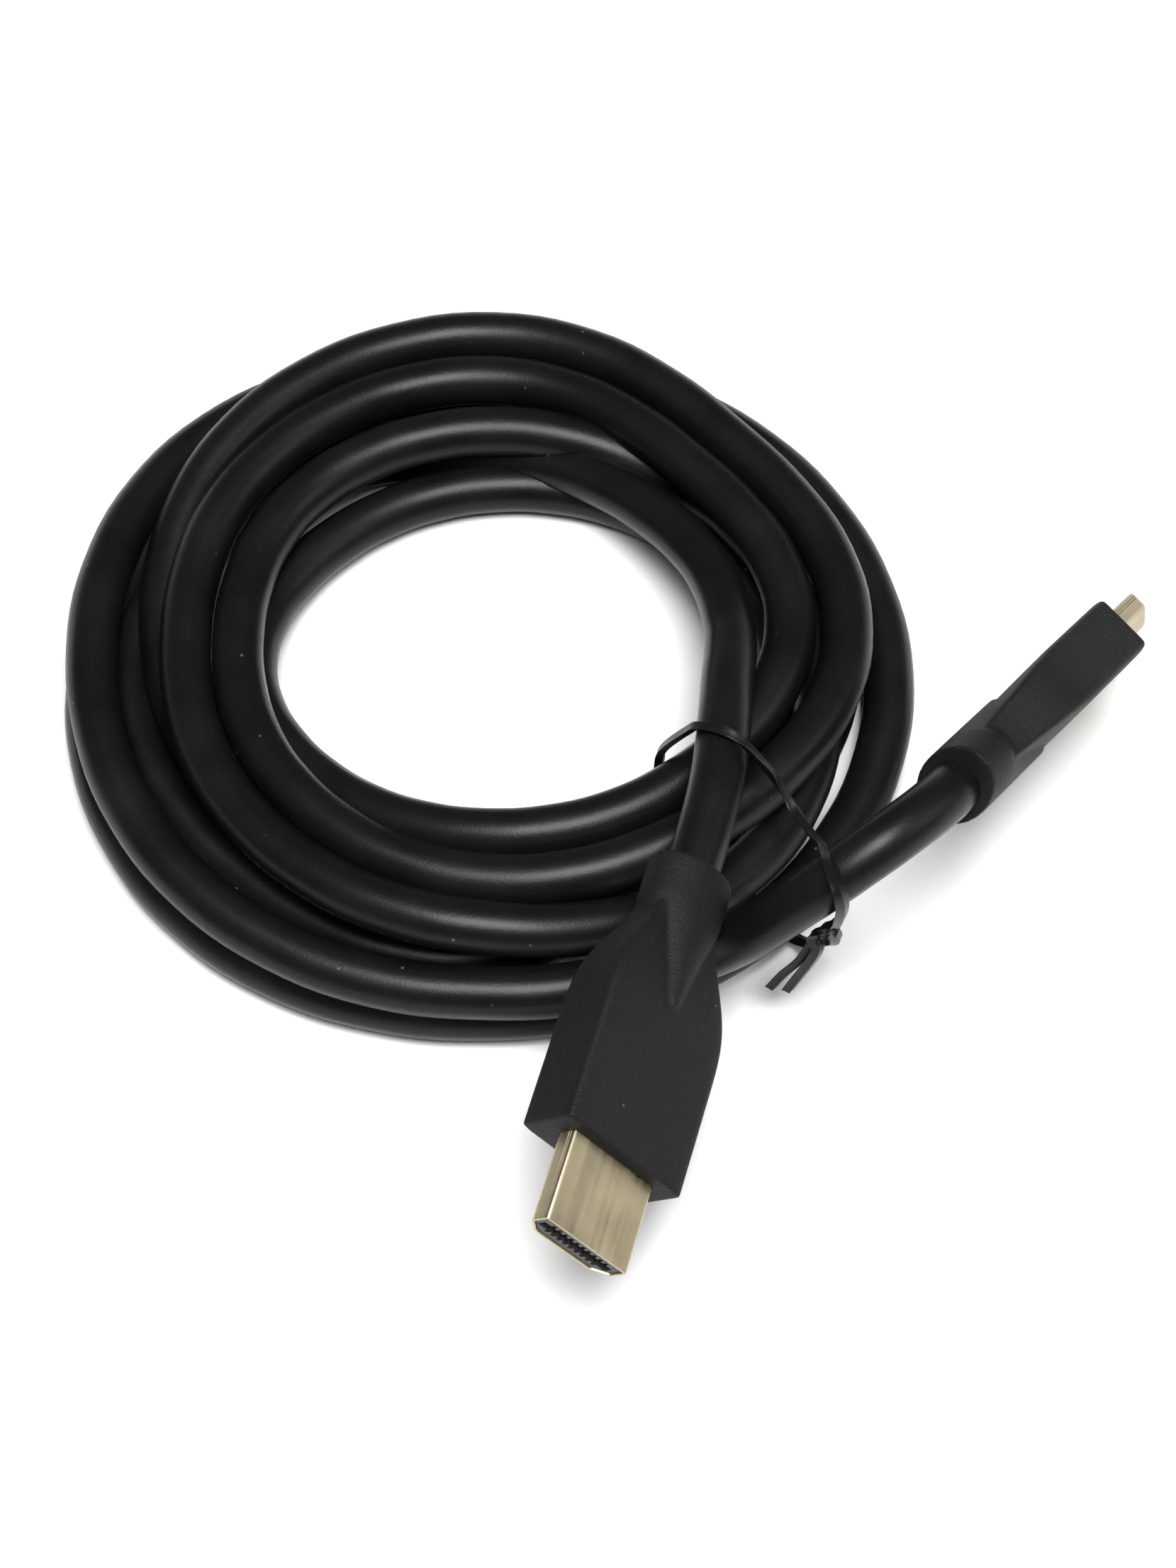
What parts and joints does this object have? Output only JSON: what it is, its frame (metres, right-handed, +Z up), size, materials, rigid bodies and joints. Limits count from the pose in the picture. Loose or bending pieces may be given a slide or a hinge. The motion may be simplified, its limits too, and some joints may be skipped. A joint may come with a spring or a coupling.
{
  "type": "hdmi cable",
  "caption": "Coiled round HDMI cable with a type A plug on each end, held by a twist tie.",
  "frame": {"origin": "on the floor, under the middle of the overall box", "axes": "+Z up, -Y towards the camera of the picture, +X to the picture's right"},
  "size_m": [0.143, 0.1504, 0.0373],
  "materials": {
    "jacket": "satin",
    "moulding": "matte",
    "plating": "satin",
    "insulation": "matte",
    "gilding": "polished",
    "tie_coat": "satin"
  },
  "bodies": {
    "root": {"cable_coil": "jacket", "cable_lead_near": "jacket", "cable_lead_far": "jacket", "twist_tie": "tie_coat", "overmould_near": "moulding", "overmould_far": "moulding", "shell_near": "plating", "shell_far": "plating", "insulator_near": "insulation", "insulator_far": "insulation", "contact_near_upper_1": "gilding", "contact_near_upper_2": "gilding", "contact_near_upper_3": "gilding", "contact_near_upper_4": "gilding", "contact_near_upper_5": "gilding", "contact_near_upper_6": "gilding", "contact_near_upper_7": "gilding", "contact_near_upper_8": "gilding", "contact_near_upper_9": "gilding", "contact_near_upper_10": "gilding", "contact_near_lower_1": "gilding", "contact_near_lower_2": "gilding", "contact_near_lower_3": "gilding", "contact_near_lower_4": "gilding", "contact_near_lower_5": "gilding", "contact_near_lower_6": "gilding", "contact_near_lower_7": "gilding", "contact_near_lower_8": "gilding", "contact_near_lower_9": "gilding", "contact_far_upper_1": "gilding", "contact_far_upper_2": "gilding", "contact_far_upper_3": "gilding", "contact_far_upper_4": "gilding", "contact_far_upper_5": "gilding", "contact_far_upper_6": "gilding", "contact_far_upper_7": "gilding", "contact_far_upper_8": "gilding", "contact_far_upper_9": "gilding", "contact_far_upper_10": "gilding", "contact_far_lower_1": "gilding", "contact_far_lower_2": "gilding", "contact_far_lower_3": "gilding", "contact_far_lower_4": "gilding", "contact_far_lower_5": "gilding", "contact_far_lower_6": "gilding", "contact_far_lower_7": "gilding", "contact_far_lower_8": "gilding", "contact_far_lower_9": "gilding"}
  },
  "joints": []
}
